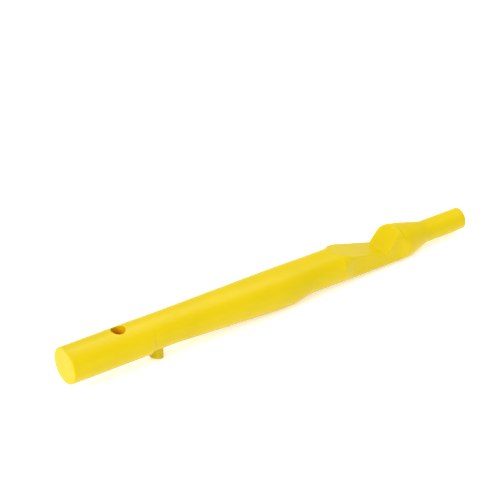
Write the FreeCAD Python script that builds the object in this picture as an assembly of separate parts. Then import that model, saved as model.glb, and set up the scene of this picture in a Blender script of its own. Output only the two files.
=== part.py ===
"""Pole of a plastic chain stanchion, lying down, in millimetres.

+X runs along the pole from the butt face to the tip and +Z is up, with the chain notch on top.
The origin is the middle of the butt face. The butt shank drops into a base socket, where the
sprung snap button underneath holds it, and a locking pin can pass through the cross sleeve.
"""
import FreeCAD, Part
import math
import os

Vector = FreeCAD.Vector
ALONG_POLE = Vector(1, 0, 0)
UPWARDS = Vector(0, 0, 1)

# ------------------------------------------------------------------ driving dimensions
# Whole pole
shell_wall = 5.0             # wall of the post body and of the chain head
seat_gap = 0.1               # radial gap of two fixed pieces that seat in each other
end_gap = 0.3                # gap between faces that close on each other but don't clamp
overshoot = 2.0              # how far a cutting solid runs past the face that it cuts

# Post body: butt shank, slim waist, straight top line, belly underneath, shoulder
shank_diameter = 76.0
shank_length = 180.0         # from the butt face to the stop where the waist begins
waist_diameter = 72.0
waist_step_length = 4.0
waist_land_length = 54.0     # the snap button stands in this stretch
belly_diameter = 84.8
belly_taper_length = 237.0
belly_land_length = 42.0
shoulder_length = 46.0

# Joint of the post body and the chain head
socket_bore_diameter = 62.0
socket_length = 70.0
joint_shank_wall = 4.5
joint_bead_height = 1.5
joint_bead_width = 6.0
joint_bead_setback = 45.0
joint_key_width = 12.0
joint_key_height = 3.0
joint_key_length = 30.0

# Chain head: round neck, raised lip, ramp down to the notch, steep catch face, cone, spigot
neck_diameter = 76.0
neck_length = 66.0
lip_rise_length = 9.0        # cone from the neck out to the full round of the head
head_diameter = 79.8         # its underside is level with the neck, so the top stands proud
head_width = 60.4            # across the two flat cheeks
notch_setback = 120.0        # from the start of the lip to the bottom of the notch
notch_height = 0.8           # bottom of the notch above the pole's axis
ramp_angle = 15.9
catch_angle = 50.0
crest_land_length = 8.0      # full round behind the catch face
crest_back_length = 3.0
tail_diameter = 77.2         # behind the crest, underside level with the neck
tail_length = 8.0
knee_diameter = 73.0         # where the underside starts to close in on the spigot
knee_length = 15.3
knee_drop = 1.2              # centre of the knee below the pole's axis
cheek_setback = 8.0          # from the end of the lip's rise to the start of the cheeks
cheek_slope_length = 12.0
cone_length = 62.5           # from the end of the tail to the spigot
spigot_diameter = 46.6
spigot_length = 100.1        # to the tip face

# Plugs in the two ends
butt_flange_thickness = 8.0
butt_rim_round = 2.5
butt_skirt_length = 26.0
butt_skirt_wall = 4.0
tip_flange_thickness = 6.0
tip_rim_round = 3.5
tip_skirt_length = 22.0
tip_skirt_wall = 3.5
plug_bead_height = 0.8
plug_bead_width = 4.0
plug_bead_setback = 9.0      # from the flange to the middle of the bead

# Cross sleeve for a locking pin
cross_hole_x = 121.0
cross_hole_diameter = 28.8
sleeve_wall = 3.0

# Snap button, its cradle, its spring and the seat of the spring
button_x = 205.6
button_diameter = 28.8
button_reach = 20.6          # how far the button stands below the round of the shank
button_guide_gap = 0.08      # radial running clearance of the stem in the cradle
button_flange_margin = 2.1   # how far the flange stands out past the stem
button_flange_thickness = 5.0
button_end_thickness = 4.0
button_guide_height = 9.0    # cradle material round the stem, from the inside of the shell
button_lead_in = 5.5         # rise of the sloped end towards the side that enters first
button_end_round = 1.2
button_key_width = 4.0
button_key_depth = 2.0
moving_gap = 0.35            # gap round the button where it isn't guided
cradle_wall = 3.5
spring_wire = 2.0
spring_diameter = 19.0       # to the middle of the wire
spring_turns = 7
spring_stretches_per_turn = 8
spring_top_height = 20.0     # lower face of the spring seat, above the pole's axis
spring_pocket_gap = 0.5
seat_boss_height = 8.0

# ------------------------------------------------------------------ places worked out from them
shank_radius = shank_diameter / 2
waist_radius = waist_diameter / 2
belly_radius = belly_diameter / 2
neck_radius = neck_diameter / 2
head_radius = head_diameter / 2
spigot_radius = spigot_diameter / 2

waist_x = shank_length + waist_step_length
taper_x = waist_x + waist_land_length
belly_x = taper_x + belly_taper_length
shoulder_x = belly_x + belly_land_length
body_end = shoulder_x + shoulder_length
socket_x = body_end - socket_length
head_x = body_end + neck_length
lip_x = head_x + lip_rise_length
notch_x = head_x + notch_setback
ramp = math.radians(ramp_angle)
catch = math.radians(catch_angle)
crest_height = head_diameter - neck_radius
crest_end_x = notch_x + (crest_height - notch_height) / math.tan(catch) + crest_land_length
tail_x = crest_end_x + crest_back_length
tail_radius = tail_diameter / 2
cone_x = tail_x + tail_length
knee_x = cone_x + knee_length
knee_radius = knee_diameter / 2
spigot_x = cone_x + cone_length
pole_length = spigot_x + spigot_length
tip_plug_x = pole_length - tip_flange_thickness

shank_bore_radius = shank_radius - shell_wall
spigot_bore_radius = spigot_radius - shell_wall
button_radius = button_diameter / 2
button_flange_radius = button_radius + button_flange_margin
button_end_z = -(shank_radius + button_reach)
waist_floor_z = shank_radius - waist_diameter + shell_wall
ledge_z = waist_floor_z + button_guide_height
flange_z = ledge_z + end_gap
flange_top_z = flange_z + button_flange_thickness
cradle_bore_radius = button_flange_radius + moving_gap
cradle_radius = cradle_bore_radius + cradle_wall
spring_bottom_z = button_end_z + button_lead_in + button_end_thickness
spring_outer_radius = (spring_diameter + spring_wire) / 2

# Circles that the outside of the post body passes through: place, radius, height of the centre.
# The top of each but the last is level with the top of the shank, so the top line is straight.
body_circles = [
    (butt_flange_thickness, shank_radius, 0.0),
    (shank_length, shank_radius, 0.0),
    (waist_x, waist_radius, shank_radius - waist_radius),
    (taper_x, waist_radius, shank_radius - waist_radius),
    (belly_x, belly_radius, shank_radius - belly_radius),
    (shoulder_x, belly_radius, shank_radius - belly_radius),
    (body_end, neck_radius, 0.0),
]

# Circles that the outside of the chain head passes through, in the same way
head_circles = [
    (body_end + end_gap, neck_radius, 0.0),
    (head_x, neck_radius, 0.0),
    (lip_x, head_radius, head_radius - neck_radius),
    (crest_end_x, head_radius, head_radius - neck_radius),
    (tail_x, tail_radius, tail_radius - neck_radius),
    (cone_x, tail_radius, tail_radius - neck_radius),
    (knee_x, knee_radius, -knee_drop),
    (spigot_x, spigot_radius, 0.0),
]


# ------------------------------------------------------------------ helpers
def rod(radius, start, end, centre_z=0.0):
    """Cylinder along the pole."""
    return Part.makeCylinder(radius, end - start, Vector(start, 0, centre_z), ALONG_POLE)


def upright_rod(x, radius, bottom, top):
    """Cylinder across the pole, with its axis up."""
    return Part.makeCylinder(radius, top - bottom, Vector(x, 0, bottom), UPWARDS)


def cone(start, start_radius, end, end_radius):
    """Cone frustum along the pole."""
    return Part.makeCone(start_radius, end_radius, end - start, Vector(start, 0, 0), ALONG_POLE)


def block(x_range, y_range, z_range):
    """Rectangular solid from three pairs of limits."""
    size = [high - low for low, high in (x_range, y_range, z_range)]
    return Part.makeBox(*size, Vector(x_range[0], y_range[0], z_range[0]))


def tube_stretch(first, last):
    """Solid with straight sides between two circles that stand across the pole."""
    if first[1:] == last[1:]:
        return rod(first[1], first[0], last[0], first[2])
    rings = [Part.Wire([Part.makeCircle(radius, Vector(x, 0, centre_z), ALONG_POLE)])
             for x, radius, centre_z in (first, last)]
    return Part.makeLoft(rings, True, True)


def lofted_tube(circles):
    """Solid through all the circles, one stretch after the other."""
    stretches = [tube_stretch(first, last) for first, last in zip(circles, circles[1:])]
    return stretches[0].fuse(stretches[1:])


def extruded_profile(points, half_width):
    """Solid with a side outline of (x, z) points, as wide as given on both sides of the pole."""
    corners = [Vector(x, -half_width, z) for x, z in points]
    outline = Part.makePolygon(corners + corners[:1])
    return Part.Face(outline).extrude(Vector(0, 2 * half_width, 0))


def snap_bead(x, radius, height, width):
    """Ring with two sloped flanks that stands out of a cylinder of the given radius."""
    rise = cone(x - width / 2, radius, x, radius + height)
    fall = cone(x, radius + height, x + width / 2, radius)
    return rise.fuse(fall)


def circle_at(x):
    """Radius and centre height of the body's outside at a place along the pole."""
    for (x0, radius0, centre0), (x1, radius1, centre1) in zip(body_circles, body_circles[1:]):
        if x <= x1:
            share = (x - x0) / (x1 - x0)
            return radius0 + share * (radius1 - radius0), centre0 + share * (centre1 - centre0)
    raise ValueError("beyond the end of the post body")


def round_edges(shape, radius, wanted):
    """Fillet of the edges that the wanted function picks."""
    edges = [edge for edge in shape.Edges if wanted(edge)]
    return shape.makeFillet(radius, edges)


# ------------------------------------------------------------------ post body
def inside_body(gap):
    """Space inside the shell from the butt to the head socket, less a gap all round."""
    circles = [(x, radius - shell_wall - gap, centre) for x, radius, centre in body_circles
               if x < socket_x]
    end_radius, end_centre = circle_at(socket_x)
    circles.append((socket_x, end_radius - shell_wall - gap, end_centre))
    circles[0] = (butt_flange_thickness - overshoot, shank_bore_radius - gap, 0.0)
    return lofted_tube(circles)


def post_body():
    """Hollow moulding with the belly, the head socket and the holes of sleeve and button."""
    body = lofted_tube(body_circles).cut(inside_body(0.0))
    socket_radius = socket_bore_diameter / 2
    bead_x = body_end - joint_bead_setback
    body = body.cut(rod(socket_radius, socket_x - overshoot, body_end + overshoot))
    body = body.cut(snap_bead(bead_x, socket_radius, joint_bead_height, joint_bead_width))
    body = body.cut(joint_key(seat_gap, body_end + overshoot))
    plug_bead_x = butt_flange_thickness + plug_bead_setback
    body = body.cut(snap_bead(plug_bead_x, shank_bore_radius, plug_bead_height, plug_bead_width))

    pin_hole = upright_rod(cross_hole_x, cross_hole_diameter / 2, -shank_diameter, shank_diameter)
    body = body.cut(pin_hole)
    button_hole = upright_rod(button_x, button_radius + moving_gap, -shank_diameter, 0)
    return body.cut(button_hole)


def joint_key(gap, end):
    """Key under the head's shank that keeps the notch on top, or its slot with a gap."""
    shank_surface = socket_bore_diameter / 2 - seat_gap
    half_width = joint_key_width / 2 + gap
    depth = shank_surface + joint_key_height + gap
    return block((body_end - joint_key_length - gap, end), (-half_width, half_width),
                 (-depth, -shank_surface + overshoot))


# ------------------------------------------------------------------ chain head
def notch_cutter(inset):
    """Wedge above the ramp and the catch face, sunk by the wall when inset is set."""
    ramp_drop = inset / math.cos(ramp)
    catch_drop = inset / math.cos(catch)
    valley_x = notch_x + (catch_drop - ramp_drop) / (math.tan(catch) + math.tan(ramp))
    valley_z = notch_height - ramp_drop - (valley_x - notch_x) * math.tan(ramp)
    rise = head_diameter
    wedge = [(valley_x, valley_z),
             (valley_x - rise / math.tan(ramp), valley_z + rise),
             (valley_x + rise / math.tan(catch), valley_z + rise)]
    return extruded_profile(wedge, head_diameter)


def cheek_cutter(inset, side):
    """Solid outside one flat cheek, with sloped ends that run out to the round of the head."""
    near = head_width / 2 - inset
    far = near + cheek_slope_length
    start = lip_x + cheek_setback
    corners = [(start, far), (start + cheek_slope_length, near),
               (cone_x - cheek_slope_length, near), (cone_x, far)]
    points = [Vector(x, side * y, -head_diameter) for x, y in corners + corners[:1]]
    return Part.Face(Part.makePolygon(points)).extrude(Vector(0, 0, 2 * head_diameter))


def head_form(inset):
    """Outside of the head from neck to spigot, or its cavity when inset is the wall."""
    circles = [(x, radius - inset, centre) for x, radius, centre in head_circles]
    start, radius, centre = circles[0]
    circles[0] = (start + inset, radius, centre)
    form = lofted_tube(circles)
    form = form.cut(notch_cutter(inset))
    for side in (-1, 1):
        form = form.cut(cheek_cutter(inset, side))
    return form


def chain_head():
    """Hollow moulding: joint shank, neck, lip, ramp, notch, catch face, cone and spigot."""
    shank_outer = socket_bore_diameter / 2 - seat_gap
    shank_start = socket_x + end_gap
    neck_start = body_end + end_gap
    bead_x = body_end - joint_bead_setback
    solid = head_form(0.0)
    solid = solid.fuse([
        rod(spigot_radius, spigot_x, tip_plug_x),
        rod(shank_outer, shank_start, neck_start),
        snap_bead(bead_x, shank_outer, joint_bead_height, joint_bead_width),
        joint_key(0.0, neck_start),
    ])
    solid = solid.removeSplitter()
    cavity = head_form(shell_wall)
    cavity = cavity.fuse([
        rod(shank_outer - joint_shank_wall, shank_start - overshoot, neck_start + shell_wall),
        rod(spigot_bore_radius, spigot_x, tip_plug_x + overshoot),
        snap_bead(tip_plug_x - plug_bead_setback, spigot_bore_radius, plug_bead_height,
                  plug_bead_width),
    ])
    return solid.cut(cavity)


# ------------------------------------------------------------------ end plugs
def end_plug(face_x, inwards, flange_radius, bore_radius, flange, rim_round, skirt, skirt_wall):
    """Cup with a rounded flange; inwards is +1 when the pole lies towards +X of the face."""
    shoulder_x = face_x + inwards * flange
    skirt_end_x = shoulder_x + inwards * skirt
    skirt_radius = bore_radius - seat_gap
    flange_disc = rod(flange_radius, *sorted((face_x, shoulder_x)))
    flange_disc = round_edges(flange_disc, rim_round,
                              lambda edge: abs(edge.CenterOfMass.x - face_x) < seat_gap)
    skirt_tube = rod(skirt_radius, *sorted((shoulder_x, skirt_end_x)))
    bead_x = shoulder_x + inwards * plug_bead_setback
    hollow_end_x = skirt_end_x + inwards * overshoot
    hollow = rod(skirt_radius - skirt_wall, *sorted((shoulder_x, hollow_end_x)))
    plug = flange_disc.fuse([
        skirt_tube, snap_bead(bead_x, skirt_radius, plug_bead_height, plug_bead_width)])
    return plug.cut(hollow)


def butt_plug():
    """Plug that closes the butt of the shank."""
    return end_plug(0.0, 1, shank_radius, shank_bore_radius, butt_flange_thickness,
                    butt_rim_round, butt_skirt_length, butt_skirt_wall)


def tip_plug():
    """Plug that closes the tip of the spigot."""
    return end_plug(pole_length, -1, spigot_radius, spigot_bore_radius, tip_flange_thickness,
                    tip_rim_round, tip_skirt_length, tip_skirt_wall)


# ------------------------------------------------------------------ cross sleeve
def cross_sleeve():
    """Liner between the two pin holes, saddled on the inside of the shank."""
    bore_radius = cross_hole_diameter / 2
    outer_radius = bore_radius + sleeve_wall
    tube = upright_rod(cross_hole_x, outer_radius, -shank_radius, shank_radius)
    tube = tube.cut(upright_rod(cross_hole_x, bore_radius, -shank_diameter, shank_diameter))
    return tube.common(inside_body(seat_gap))


# ------------------------------------------------------------------ snap button group
def key_block(gap, bottom, top):
    """Key on the button's flange, towards the tip, or its slot with a gap."""
    reach = button_flange_radius + button_key_depth + gap
    half_width = button_key_width / 2 + gap
    return block((button_x, button_x + reach), (-half_width, half_width), (bottom, top))


def snap_button():
    """Cup that stands out of the waist, its end sloped so that the socket presses it in."""
    stem = upright_rod(button_x, button_radius, button_end_z, flange_z)
    heel_x = button_x - button_radius
    toe_x = button_x + button_radius
    slope = extruded_profile([(heel_x, button_end_z + button_lead_in), (toe_x, button_end_z),
                              (toe_x, button_end_z - overshoot), (heel_x, button_end_z - overshoot)],
                             button_diameter)
    stem = stem.cut(slope)
    stem = round_edges(stem, button_end_round,
                       lambda edge: edge.BoundBox.ZMax < button_end_z + button_lead_in + seat_gap)
    flange = upright_rod(button_x, button_flange_radius, flange_z, flange_top_z)
    key = key_block(0.0, flange_z, flange_top_z)
    pocket = upright_rod(button_x, spring_outer_radius + spring_pocket_gap, spring_bottom_z,
                         flange_top_z + overshoot)
    return stem.fuse([flange, key]).cut(pocket)


def button_cradle():
    """Guide of the button, saddled on the inside of the shank and put in through the butt."""
    outside = upright_rod(button_x, cradle_radius, -shank_radius, shank_radius)
    outside = outside.common(inside_body(seat_gap))
    stem_bore = upright_rod(button_x, button_radius + button_guide_gap, -shank_radius, ledge_z)
    flange_bore = upright_rod(button_x, cradle_bore_radius, ledge_z, shank_radius)
    key_slot = key_block(moving_gap, ledge_z, spring_top_height)
    return outside.cut(stem_bore).cut(flange_bore).cut(key_slot)


def spring_seat():
    """Block above the spring, held down by the top of the shell, with a boss in the coil."""
    seat_radius = cradle_bore_radius - seat_gap
    seat = upright_rod(button_x, seat_radius, spring_top_height, shank_radius)
    seat = seat.common(inside_body(seat_gap))
    boss_radius = (spring_diameter - spring_wire) / 2 - spring_pocket_gap
    boss = upright_rod(button_x, boss_radius, spring_top_height - seat_boss_height,
                       spring_top_height)
    return seat.fuse(boss)


def button_spring():
    """Open coil between the floor of the button and the seat, swept in short stretches."""
    low = spring_bottom_z + spring_wire / 2 + seat_gap
    pitch = (spring_top_height - spring_wire / 2 - seat_gap - low) / spring_turns
    coil_radius = spring_diameter / 2

    def place(turn):
        angle = 2 * math.pi * turn
        return Vector(button_x + coil_radius * math.cos(angle), coil_radius * math.sin(angle),
                      low + pitch * turn)

    def heading(turn):
        angle = 2 * math.pi * turn
        around = 2 * math.pi * coil_radius
        return Vector(-around * math.sin(angle), around * math.cos(angle), pitch).normalize()

    path = []
    for number in range(spring_turns * spring_stretches_per_turn):
        turns = [(number + quarter / 4) / spring_stretches_per_turn for quarter in range(5)]
        curve = Part.BSplineCurve()
        curve.interpolate(Points=[place(turn) for turn in turns],
                          InitialTangent=heading(turns[0]), FinalTangent=heading(turns[-1]))
        path.append(curve.toShape())
    section = Part.Wire([Part.makeCircle(spring_wire / 2, place(0), heading(0))])
    return Part.Wire(path).makePipeShell([section], True, True)


# ------------------------------------------------------------------ export
SUB_PARTS = (post_body, chain_head, butt_plug, tip_plug, cross_sleeve, snap_button,
             button_cradle, button_spring, spring_seat)


def main():
    os.makedirs("parts", exist_ok=True)
    for make in SUB_PARTS:
        shape = make()
        if not shape.isValid() or len(shape.Solids) != 1:
            raise RuntimeError(f"{make.__name__} is not one sound solid")
        shape.Solids[0].exportStep(f"parts/{make.__name__}.step")
        box = shape.BoundBox
        print(f"{make.__name__:14s} {shape.Volume / 1000:8.1f} cm3  x {box.XMin:7.1f} {box.XMax:7.1f}"
              f"  y {box.YMin:6.1f} {box.YMax:6.1f}  z {box.ZMin:6.1f} {box.ZMax:6.1f}")


main()
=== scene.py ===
"""Looks of the plastic chain stanchion pole: finer meshes of the outer pieces, moulded yellow
plastic, a pale floor and soft studio light. Metres, in the same frame as the CAD model."""
import math
import bpy
import numpy as np
from mathutils import Euler, Matrix, Vector


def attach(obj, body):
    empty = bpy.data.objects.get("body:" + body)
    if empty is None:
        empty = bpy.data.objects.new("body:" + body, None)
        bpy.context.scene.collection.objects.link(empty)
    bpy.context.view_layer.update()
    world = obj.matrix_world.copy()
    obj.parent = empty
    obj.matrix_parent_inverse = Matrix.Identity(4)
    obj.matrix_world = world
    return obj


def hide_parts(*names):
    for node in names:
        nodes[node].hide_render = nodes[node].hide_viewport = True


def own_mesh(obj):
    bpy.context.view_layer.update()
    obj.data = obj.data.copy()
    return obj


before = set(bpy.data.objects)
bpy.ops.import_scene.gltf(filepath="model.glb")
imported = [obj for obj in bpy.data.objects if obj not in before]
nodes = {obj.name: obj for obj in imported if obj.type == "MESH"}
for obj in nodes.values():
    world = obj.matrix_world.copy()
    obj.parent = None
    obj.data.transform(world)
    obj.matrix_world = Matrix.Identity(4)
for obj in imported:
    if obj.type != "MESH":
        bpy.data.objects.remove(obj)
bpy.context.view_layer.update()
MM = 0.001
SHARP = math.radians(38)

# ------------------------------------------------------------------ sizes in millimetres
POLE_LENGTH = 965.0
SHELL_WALL = 5.0
SHANK_RADIUS = 38.0
BUTT_FLANGE = 8.0
BODY_END = 563.0
SOCKET_X = 493.0
SOCKET_RADIUS = 31.0
SOCKET_GAP = 0.1
JOINT_SHANK_WALL = 4.5
TIP_FLANGE = 6.0
SPIGOT_RADIUS = 23.3
SEAM_GAP = 0.06
SEAM_RADIUS = 37.9          # edges that meet at a seam are rounded from here ...
SEAM_SHOULDER = 37.98       # ... over this to the full shank
WAIST_RADIUS, WAIST_CENTRE = 36.0, 2.0
BELLY_RADIUS, BELLY_CENTRE = 42.37, -4.37
# Post body: place, radius, height of the centre
BODY_CIRCLES = [(BUTT_FLANGE, SHANK_RADIUS, 0.0), (180.0, SHANK_RADIUS, 0.0),
                (184.0, WAIST_RADIUS, WAIST_CENTRE), (238.0, WAIST_RADIUS, WAIST_CENTRE),
                (475.0, BELLY_RADIUS, BELLY_CENTRE), (517.0, BELLY_RADIUS, BELLY_CENTRE),
                (BODY_END, SHANK_RADIUS, 0.0)]
# Chain head, in the same way
HEAD_CIRCLES = [(563.3, 38.0, 0.0), (629.0, 38.0, 0.0), (638.0, 39.9, 1.9), (791.4, 39.9, 1.9),
                (794.4, 38.6, 0.6), (802.4, 38.6, 0.6), (817.7, 36.5, -1.2),
                (864.9, SPIGOT_RADIUS, 0.0), (POLE_LENGTH - TIP_FLANGE, SPIGOT_RADIUS, 0.0)]
NOTCH_X, NOTCH_Z = 749.0, 0.8
RAMP = math.radians(15.9)
CATCH = math.radians(50.0)
CHEEK_Y = 30.2
CHEEKS = (646.0, 658.0, 790.4, 802.4)
CROSS_HOLE = (121.0, 14.4)      # place and radius
BUTTON_HOLE = (205.6, 14.75)
BUTTON_TOE_Z = -58.6
# Sides of the round meshes
ROUND_SIDES = 160
HEAD_SIDES = 288
CUTTER_SIDES = 128


# ------------------------------------------------------------------ mesh helpers
def smooth_object(name, vertices, faces, material):
    """Object with smooth faces and its sharp edges marked; vertices are in millimetres."""
    mesh = bpy.data.meshes.new(name)
    mesh.from_pydata([tuple(v) for v in np.asarray(vertices) * MM], [], faces)
    mesh.validate()
    mesh.materials.append(material)
    item = bpy.data.objects.new(name, mesh)
    bpy.context.scene.collection.objects.link(item)
    finish_shading(item)
    return item


def finish_shading(item):
    item.data.polygons.foreach_set("use_smooth", [True] * len(item.data.polygons))
    item.data.set_sharp_from_angle(angle=SHARP)


def ring_faces(ring_count, around, closed_along):
    """Quads of a grid of rings, closed around and, when asked, from the last ring to the first."""
    faces = []
    for ring in range(ring_count if closed_along else ring_count - 1):
        here, there = ring * around, (ring + 1) % ring_count * around
        for k in range(around):
            n = (k + 1) % around
            faces.append((here + k, here + n, there + n, there + k))
    return faces


def circle_rings(stations, around):
    """Vertices of circles that stand across the pole: place, radius, height of the centre."""
    angles = np.arange(around) * 2 * math.pi / around
    rings = [np.column_stack([np.full(around, x), radius * np.cos(angles),
                              centre + radius * np.sin(angles)]) for x, radius, centre in stations]
    return np.concatenate(rings)


def turned(name, outline, around, material):
    """Solid turned about the pole's axis from (x, radius) points; both ends lie on the axis."""
    inner = outline[1:-1]
    vertices = circle_rings([(x, radius, 0.0) for x, radius in inner], around)
    faces = ring_faces(len(inner), around, False)
    start, end = len(vertices), len(vertices) + 1
    vertices = np.vstack([vertices, (outline[0][0], 0, 0), (outline[-1][0], 0, 0)])
    last = (len(inner) - 1) * around
    for k in range(around):
        n = (k + 1) % around
        faces.append((start, n, k))
        faces.append((end, last + k, last + n))
    return smooth_object(name, vertices, faces, material)


def softened(places, values, at, reach):
    """Broken line through the points, its corners rounded over the reach."""
    offsets = np.linspace(-1, 1, 17)
    weights = 1 - np.abs(offsets)
    total = sum(w * np.interp(at + o * reach, places, values) for o, w in zip(offsets, weights))
    return total / weights.sum()


def arc(centre, radius, start, end, steps):
    """Points of an arc in the (x, radius) plane, angles in degrees."""
    return [(centre[0] + radius * math.cos(math.radians(a)),
             centre[1] + radius * math.sin(math.radians(a))) for a in np.linspace(start, end, steps)]


# ------------------------------------------------------------------ materials
class Shader:
    """Small helper around one node tree."""

    def __init__(self, name):
        self.material = bpy.data.materials.new(name)
        self.material.use_nodes = True
        self.tree = self.material.node_tree
        self.surface = self.tree.nodes["Principled BSDF"]
        self.place = self.add("ShaderNodeTexCoord").outputs["Object"]

    def add(self, kind, **settings):
        node = self.tree.nodes.new(kind)
        for key, value in settings.items():
            setattr(node, key, value)
        return node

    def link(self, source, target):
        self.tree.links.new(source, target)

    def put(self, socket, value):
        if hasattr(value, "is_output"):
            self.link(value, socket)
        else:
            socket.default_value = value

    def noise(self, scale, detail=3.0, roughness=0.5, stretch=(1, 1, 1), distortion=0.0):
        mapping = self.add("ShaderNodeMapping")
        mapping.inputs["Scale"].default_value = stretch
        self.link(self.place, mapping.inputs["Vector"])
        node = self.add("ShaderNodeTexNoise")
        self.link(mapping.outputs["Vector"], node.inputs["Vector"])
        node.inputs["Scale"].default_value = scale
        node.inputs["Detail"].default_value = detail
        node.inputs["Roughness"].default_value = roughness
        node.inputs["Distortion"].default_value = distortion
        return node.outputs["Fac"]

    def ramp(self, value, low, high, out_low=0.0, out_high=1.0):
        node = self.add("ShaderNodeMapRange", interpolation_type="SMOOTHSTEP")
        self.put(node.inputs["Value"], value)
        node.inputs["From Min"].default_value = low
        node.inputs["From Max"].default_value = high
        node.inputs["To Min"].default_value = out_low
        node.inputs["To Max"].default_value = out_high
        return node.outputs["Result"]

    def math(self, operation, first, second=0.0):
        node = self.add("ShaderNodeMath", operation=operation)
        self.put(node.inputs[0], first)
        self.put(node.inputs[1], second)
        return node.outputs["Value"]

    def mix(self, share, first, second):
        node = self.add("ShaderNodeMix", data_type="RGBA")
        self.put(node.inputs["Factor"], share)
        self.put(node.inputs["A"], first)
        self.put(node.inputs["B"], second)
        return node.outputs["Result"]

    def axes(self):
        node = self.add("ShaderNodeSeparateXYZ")
        self.link(self.place, node.inputs["Vector"])
        return node.outputs["X"], node.outputs["Y"], node.outputs["Z"]

    def bump(self, height, strength, distance, below=None):
        node = self.add("ShaderNodeBump")
        node.inputs["Strength"].default_value = strength
        node.inputs["Distance"].default_value = distance
        self.put(node.inputs["Height"], height)
        if below is not None:
            self.link(below, node.inputs["Normal"])
        return node.outputs["Normal"]


def moulded_yellow(name, parting_line, painted_glow_tint=None):
    """Gloss moulding: faint flow streaks, orange peel, handling scuffs, a parting line, painted
    shade at the bottom of the notch and, when given, a painted glow tint.
    """
    s = Shader(name)
    x, y, z = s.axes()
    clouds = s.noise(9.0, 4.0, 0.55)
    streaks = s.noise(26.0, 3.0, 0.5, stretch=(0.25, 1, 1), distortion=0.3)
    colour = s.mix(s.ramp(clouds, 0.3, 0.7), (0.474, 0.354, 0.0007, 1), (0.502, 0.376, 0.0009, 1))
    colour = s.mix(s.math("MULTIPLY", s.ramp(streaks, 0.45, 0.75), 0.35), colour,
                   (0.524, 0.388, 0.0018, 1))
    # Scuffs, mostly where the pole rubs: the butt and the lowest part of the underside
    rub_butt = s.ramp(x, 0.030, 0.0)
    rub_under = s.ramp(z, -0.036, -0.046)
    patches = s.ramp(s.noise(60.0, 6.0, 0.7), 0.56, 0.70)
    scratches = s.ramp(s.noise(150.0, 4.0, 0.6, stretch=(0.12, 1, 1)), 0.62, 0.72)
    where = s.math("MAXIMUM", s.math("MAXIMUM", rub_butt, rub_under), 0.12)
    scuffs = s.math("MULTIPLY", s.math("MAXIMUM", patches, scratches), where)
    colour = s.mix(s.math("MULTIPLY", scuffs, 0.28), colour, (0.55, 0.43, 0.05, 1))
    # Painted shade: darker, browner flecks at the bottom of the notch, standing in for the shade in
    # the valley
    valley = s.ramp(s.math("ABSOLUTE", s.math("SUBTRACT", x, NOTCH_X * MM)), 0.006, 0.0)
    notch_shade = s.math("MULTIPLY", valley, s.ramp(s.noise(210.0, 5.0, 0.6), 0.40, 0.72))
    # colour of the painted shade in the notch
    colour = s.mix(s.math("MULTIPLY", notch_shade, 0.16), colour, (0.42, 0.30, 0.05, 1))
    # optional tint, used for the painted glow inside the pin hole, takes over most of the colour
    if painted_glow_tint is not None:
        colour = s.mix(0.85, colour, painted_glow_tint)
    s.link(colour, s.surface.inputs["Base Color"])
    gloss = s.ramp(s.noise(34.0, 5.0, 0.6), 0.25, 0.75, 0.30, 0.38)
    gloss = s.math("ADD", gloss, s.math("MULTIPLY", scuffs, 0.22))
    s.link(gloss, s.surface.inputs["Roughness"])
    s.surface.inputs["IOR"].default_value = 1.45
    s.surface.inputs["Specular IOR Level"].default_value = 0.12
    s.surface.inputs["Subsurface Weight"].default_value = 0.06
    s.surface.inputs["Subsurface Radius"].default_value = (0.004, 0.0025, 0.0006)
    s.surface.inputs["Subsurface Scale"].default_value = 1.0
    normal = s.bump(s.noise(420.0, 2.0, 0.5), 0.10, 0.0004)
    normal = s.bump(s.noise(38.0, 2.0, 0.5), 0.22, 0.0010, normal)
    normal = s.bump(scuffs, 0.25, 0.0002, normal)
    if parting_line:
        line = s.ramp(s.math("ABSOLUTE", z), 0.0006, 0.0001)
        normal = s.bump(line, 0.35, 0.0003, normal)
    s.link(normal, s.surface.inputs["Normal"])
    return s.material


def guide_plastic():
    """Natural acetal of the inner guides, satin with fine tool marks."""
    s = Shader("guide_plastic")
    clouds = s.noise(40.0, 4.0)
    s.link(s.mix(clouds, (0.74, 0.73, 0.68, 1), (0.82, 0.81, 0.77, 1)),
           s.surface.inputs["Base Color"])
    s.link(s.ramp(s.noise(300.0), 0.3, 0.7, 0.42, 0.55), s.surface.inputs["Roughness"])
    s.link(s.bump(s.noise(700.0), 0.15, 0.0002), s.surface.inputs["Normal"])
    return s.material


def spring_steel():
    """Drawn spring wire with a slight bloom."""
    s = Shader("spring_steel")
    s.surface.inputs["Metallic"].default_value = 1.0
    s.link(s.mix(s.noise(240.0, 5.0), (0.42, 0.42, 0.43, 1), (0.62, 0.61, 0.60, 1)),
           s.surface.inputs["Base Color"])
    s.link(s.ramp(s.noise(500.0), 0.3, 0.7, 0.24, 0.40), s.surface.inputs["Roughness"])
    s.link(s.bump(s.noise(900.0, stretch=(1, 1, 0.2)), 0.2, 0.0001), s.surface.inputs["Normal"])
    return s.material


def pale_floor():
    """Matt white paper that glows a little, so that shadows stay faint."""
    s = Shader("pale_floor")
    s.link(s.mix(s.noise(1.6, 4.0), (0.90, 0.90, 0.90, 1), (0.93, 0.93, 0.93, 1)),
           s.surface.inputs["Base Color"])
    s.surface.inputs["Roughness"].default_value = 0.9
    s.surface.inputs["Emission Color"].default_value = (1, 1, 1, 1)
    s.surface.inputs["Emission Strength"].default_value = 0.40
    s.surface.inputs["Specular IOR Level"].default_value = 0.1
    return s.material


body_yellow = moulded_yellow("yellow_moulding", True)
part_yellow = moulded_yellow("yellow_small_parts", False)
# Painted light: a deeper, brighter orange tint on the pin hole's sleeve stands in for light that has
# passed through the plastic and comes back inside the hole.
sleeve_painted_glow = moulded_yellow("yellow_sleeve_painted_glow", False, (0.74, 0.33, 0.002, 1))


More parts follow.
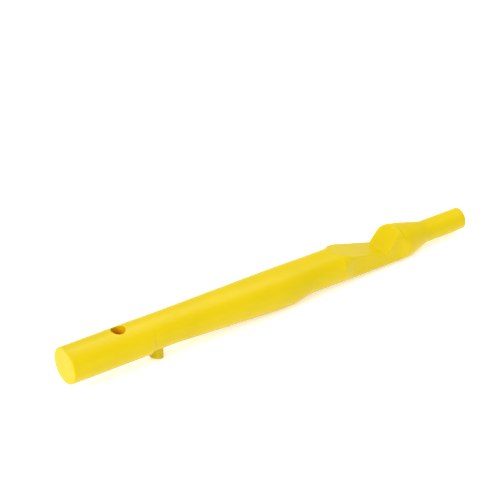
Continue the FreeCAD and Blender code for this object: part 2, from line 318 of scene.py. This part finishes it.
# ------------------------------------------------------------------ post body
def body_stations():
    """Rings over the outside from butt to head and back through the inside."""
    places = [c[0] for c in BODY_CIRCLES]
    radii = [c[1] for c in BODY_CIRCLES]
    centres = [c[2] for c in BODY_CIRCLES]

    def ring(x, inset):
        reach = 2.5 if x < 300 else 9.0
        return (x, softened(places, radii, x, reach) - inset, softened(places, centres, x, reach))

    fine = np.concatenate([np.arange(9, 176, 3.0), np.arange(176, 190, 0.8),
                           np.arange(190, 242, 2.5), np.arange(242, 462, 5.0),
                           np.arange(462, 562.4, 2.5)])
    outside = [(BUTT_FLANGE, SEAM_RADIUS, 0.0), (BUTT_FLANGE + 0.07, SEAM_SHOULDER, 0.0),
               (BUTT_FLANGE + 0.5, SHANK_RADIUS, 0.0)]
    outside += [ring(x, 0.0) for x in fine]
    outside += [(BODY_END - 0.4, SHANK_RADIUS, 0.0), (BODY_END - 0.07, SEAM_SHOULDER, 0.0),
                (BODY_END, SEAM_RADIUS, 0.0)]
    inside = [(BODY_END, SOCKET_RADIUS, 0.0), (SOCKET_X, SOCKET_RADIUS, 0.0)]
    inside += [ring(x, SHELL_WALL) for x in fine[::-1] if x < SOCKET_X]
    inside.append((BUTT_FLANGE, SHANK_RADIUS - SHELL_WALL, 0.0))
    return outside + inside


def hole_cutter(name, x, radius, surface_radius, centre_z, sides, edge):
    """Upright cutter whose ends flare so that the hole gets a small round edge."""
    around = CUTTER_SIDES
    angles = np.arange(around) * 2 * math.pi / around

    def row(spread, sink, side):
        px = x + (radius + spread) * np.cos(angles)
        py = (radius + spread) * np.sin(angles)
        height = np.sqrt(surface_radius ** 2 - py ** 2) - sink
        return np.column_stack([px, py, centre_z + side * height])

    turns = np.radians([0, 20, 40, 58, 72])
    flare = [(edge * (1 - math.cos(a)), edge * (1 - math.sin(a))) for a in turns]
    flare.append((edge * 1.25, -4.0))
    lower = [row(spread, sink, -1) for spread, sink in flare[::-1]]
    if "top" in sides:
        upper = [row(spread, sink, 1) for spread, sink in flare]
    else:
        upper = [np.column_stack([x + radius * np.cos(angles), radius * np.sin(angles),
                                  np.zeros(around)])]
    rings = lower + upper
    vertices = np.concatenate(rings)
    faces = ring_faces(len(rings), around, False)
    last = (len(rings) - 1) * around
    faces.append(tuple(range(around))[::-1])
    faces.append(tuple(last + k for k in range(around)))
    return smooth_object(name, vertices, faces, part_yellow)


def cut(item, cutter):
    modifier = item.modifiers.new("hole", "BOOLEAN")
    modifier.operation = "DIFFERENCE"
    modifier.solver = "EXACT"
    modifier.object = cutter
    bpy.context.view_layer.objects.active = item
    bpy.ops.object.modifier_apply(modifier=modifier.name)
    bpy.data.objects.remove(cutter)


def outward(item):
    """Face normals made to point out of a closed mesh."""
    bpy.context.view_layer.objects.active = item
    for other in bpy.context.selected_objects:
        other.select_set(False)
    item.select_set(True)
    bpy.ops.object.mode_set(mode="EDIT")
    bpy.ops.mesh.select_all(action="SELECT")
    bpy.ops.mesh.normals_make_consistent(inside=False)
    bpy.ops.object.mode_set(mode="OBJECT")
    item.select_set(False)


def post_body():
    stations = body_stations()
    body = smooth_object("post_body_skin", circle_rings(stations, ROUND_SIDES),
                         ring_faces(len(stations), ROUND_SIDES, True), body_yellow)
    outward(body)
    x, radius = CROSS_HOLE
    cutter = hole_cutter("pin_cutter", x, radius, SHANK_RADIUS, 0.0, ("top", "bottom"), 0.9)
    outward(cutter)
    cut(body, cutter)
    x, radius = BUTTON_HOLE
    cutter = hole_cutter("button_cutter", x, radius, WAIST_RADIUS, WAIST_CENTRE,
                         ("bottom",), 0.5)
    outward(cutter)
    cut(body, cutter)
    finish_shading(body)
    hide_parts("post_body")
    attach(body, "pole")


# ------------------------------------------------------------------ chain head
def round_max(first, second, reach):
    """The larger of two fields, blended where they are close."""
    share = np.clip(0.5 + 0.5 * (first - second) / reach, 0, 1)
    return second + (first - second) * share + reach * share * (1 - share)


def head_field(x, y, z, inset):
    """Below zero inside the chain head, its walls moved in by the inset.

    The round of the head, cut by two flat cheeks that start and end in long soft curves, and by
    the notch between the ramp and the catch face.
    """
    places, radii, centres = zip(*HEAD_CIRCLES)
    reach = np.interp(x, [780, 786, 800, 812], [3.0, 2.4, 4.5, 7.0])
    field = np.hypot(y, z - softened(places, centres, x, reach))
    field -= softened(places, radii, x, reach) - inset
    wide = CHEEK_Y + 14.0
    cheek = softened([CHEEKS[0] - 12, CHEEKS[0] - 4, CHEEKS[1] + 8, *CHEEKS[2:], CHEEKS[3] + 8],
                     [wide, CHEEK_Y + 9, CHEEK_Y, CHEEK_Y, CHEEK_Y + 9, wide], x, 26.0)
    field = round_max(field, np.abs(y) - cheek + inset, 4.0)
    above_ramp = (z - NOTCH_Z) * math.cos(RAMP) + (x - NOTCH_X) * math.sin(RAMP) + inset
    above_catch = (z - NOTCH_Z) * math.cos(CATCH) - (x - NOTCH_X) * math.sin(CATCH) + inset
    notch = -round_max(-above_ramp, -above_catch, 1.2)
    return round_max(field, notch, 1.3)


def head_rings(places, inset, around):
    """Rings over the head, found by halving along rays from a line inside it."""
    x = np.repeat(places, around)
    angles = np.tile(np.arange(around) * 2 * math.pi / around, len(places))
    centre = np.interp(x, [600, 690, 800, 850], [0, -13, -13, 0])
    near = np.zeros(len(x))
    far = np.full(len(x), 70.0)
    for _ in range(34):
        middle = (near + far) / 2
        inside = head_field(x, middle * np.cos(angles), centre + middle * np.sin(angles), inset) < 0
        near = np.where(inside, middle, near)
        far = np.where(inside, far, middle)
    return np.column_stack([x, near * np.cos(angles), centre + near * np.sin(angles)])


def chain_head():
    around = HEAD_SIDES
    start = BODY_END + SEAM_GAP
    end = POLE_LENGTH - TIP_FLANGE
    outside = np.concatenate([[start + 0.5], np.arange(566, 608, 3.0), np.arange(608, 812, 0.8),
                              np.arange(812, 956, 2.5), [end - 0.5]])
    inside = np.concatenate([np.arange(end - 1, 812, -6.0), np.arange(812, 600, -3.0), [572.0]])
    shank_outer = SOCKET_RADIUS - SOCKET_GAP
    shank_inner = shank_outer - JOINT_SHANK_WALL
    spigot_inner = SPIGOT_RADIUS - SHELL_WALL
    parts = [circle_rings([(SOCKET_X + 0.3, shank_inner, 0), (SOCKET_X + 0.3, shank_outer, 0),
                           (start, shank_outer, 0), (start, SEAM_RADIUS, 0),
                           (start + 0.07, SEAM_SHOULDER, 0)], around),
             head_rings(outside, 0.0, around),
             circle_rings([(end - 0.15, SPIGOT_RADIUS - 0.1, 0), (end, SPIGOT_RADIUS - 0.4, 0),
                           (end, spigot_inner, 0)], around),
             head_rings(inside, SHELL_WALL, around),
             circle_rings([(568.0, shank_inner, 0)], around)]
    vertices = np.concatenate(parts)
    ring_count = len(vertices) // around
    head = smooth_object("chain_head_skin", vertices, ring_faces(ring_count, around, True),
                         body_yellow)
    outward(head)
    finish_shading(head)
    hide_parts("chain_head")
    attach(head, "pole")


# ------------------------------------------------------------------ end plugs
def butt_plug():
    """Cup with a gate mark in the middle of its face and a bead round its skirt."""
    gate = [(0.55, 0.0), (0.55, 2.2), (0.25, 2.9), (0.12, 3.6)]
    face = [(0.06, 12.0), (0.02, 24.0), (0.0, 34.8)]
    rim = arc((2.5, 35.5), 2.5, 180, 90, 10)
    seam = [(BUTT_FLANGE - 0.5, SHANK_RADIUS), (BUTT_FLANGE - 0.07, SEAM_SHOULDER),
            (BUTT_FLANGE, SEAM_RADIUS)]
    skirt = [(8.0, 32.9), (15.0, 32.9), (17.0, 33.5), (19.0, 32.9), (33.2, 32.9), (34.0, 32.2),
             (34.0, 28.9), (8.0, 28.9), (8.0, 0.0)]
    plug = turned("butt_plug_skin", gate + face + rim + seam + skirt, ROUND_SIDES,
                  part_yellow)
    outward(plug)
    finish_shading(plug)
    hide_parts("butt_plug")
    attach(plug, "pole")


def tip_plug():
    """Smaller cup with a round rim, closing the spigot."""
    skirt = [(959.0, 0.0), (959.0, 14.7), (937.0, 14.7), (937.0, 17.6), (937.7, 18.2),
             (948.0, 18.2), (950.0, 18.8), (952.0, 18.2), (959.0, 18.2)]
    seam = [(959.0, 22.9), (959.15, 23.2), (959.5, 23.3)]
    rim = arc((961.5, 19.8), 3.5, 90, 0, 12)
    face = [(964.97, 12.0), (964.9, 4.0), (964.75, 3.2), (964.5, 2.4), (964.5, 0.0)]
    plug = turned("tip_plug_skin", skirt + seam + rim + face, ROUND_SIDES, part_yellow)
    outward(plug)
    finish_shading(plug)
    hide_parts("tip_plug")
    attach(plug, "pole")


post_body()
chain_head()
butt_plug()
tip_plug()

# ------------------------------------------------------------------ CAD pieces that stay
guide = guide_plastic()
steel = spring_steel()
for node, material in (("snap_button", part_yellow), ("cross_sleeve", sleeve_painted_glow),
                       ("button_cradle", guide), ("spring_seat", guide),
                       ("button_spring", steel)):
    nodes[node].data.materials.clear()
    nodes[node].data.materials.append(material)
    finish_shading(nodes[node])

# The spring gets a mesh of its own; it is left at its imported length, not shortened by the button's
# travel.
coil = nodes["button_spring"]
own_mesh(coil)

# ------------------------------------------------------------------ stage, light and camera
# The lying pole touches the floor with the toe of the button and the back of the head.
toe = Vector((0.2200, 0, BUTTON_TOE_Z * MM - 0.0003))
heel = Vector((0.8177, 0, -0.0380))
along = (heel - toe).normalized()
mesh = bpy.data.meshes.new("floor")
across = Vector((0, 1, 0))
floor_reach = 40.0
corners = [toe + (along * a + across * b) * floor_reach
           for a, b in ((-1, -1), (1, -1), (1, 1), (-1, 1))]
mesh.from_pydata([tuple(c) for c in corners], [], [(0, 1, 2, 3)])
mesh.materials.append(pale_floor())
floor = bpy.data.objects.new("floor", mesh)
bpy.context.scene.collection.objects.link(floor)

scene = bpy.context.scene
world = bpy.data.worlds.new("studio")
world.use_nodes = True
world.node_tree.nodes["Background"].inputs["Color"].default_value = (1, 1, 1, 1)
world.node_tree.nodes["Background"].inputs["Strength"].default_value = 0.80
scene.world = world


def softbox(name, place, target, size, power):
    light = bpy.data.lights.new(name, "AREA")
    light.shape = "RECTANGLE"
    light.size, light.size_y = size
    light.energy = power
    lamp = bpy.data.objects.new(name, light)
    lamp.location = place
    lamp.rotation_euler = (Vector(target) - Vector(place)).to_track_quat("-Z", "Y").to_euler()
    scene.collection.objects.link(lamp)


softbox("key", (-3.0, -0.9, 2.0), (0.4, 0, 0), (1.8, 1.8), 118)
softbox("strip", (1.3, 0.35, 2.3), (0.6, 0.05, 0), (3.2, 0.5), 56)
softbox("fill", (-1.2, -2.2, 0.5), (0.3, 0, 0), (1.2, 0.6), 8)

camera_data = bpy.data.cameras.new("photo_camera")
camera_data.sensor_width = 36.0
camera_data.lens = 160.4
camera_data.clip_end = 200
camera = bpy.data.objects.new("photo_camera", camera_data)
camera.location = (-1.7157, -3.0344, 2.3770)
aim = Euler((math.radians(90 - 31.418), 0, math.radians(-35.237))).to_matrix()
roll = Matrix.Rotation(math.radians(0.25), 3, "Z")
camera.rotation_euler = (aim @ roll).to_euler()
scene.collection.objects.link(camera)
scene.camera = camera
scene.view_settings.view_transform = "Standard"
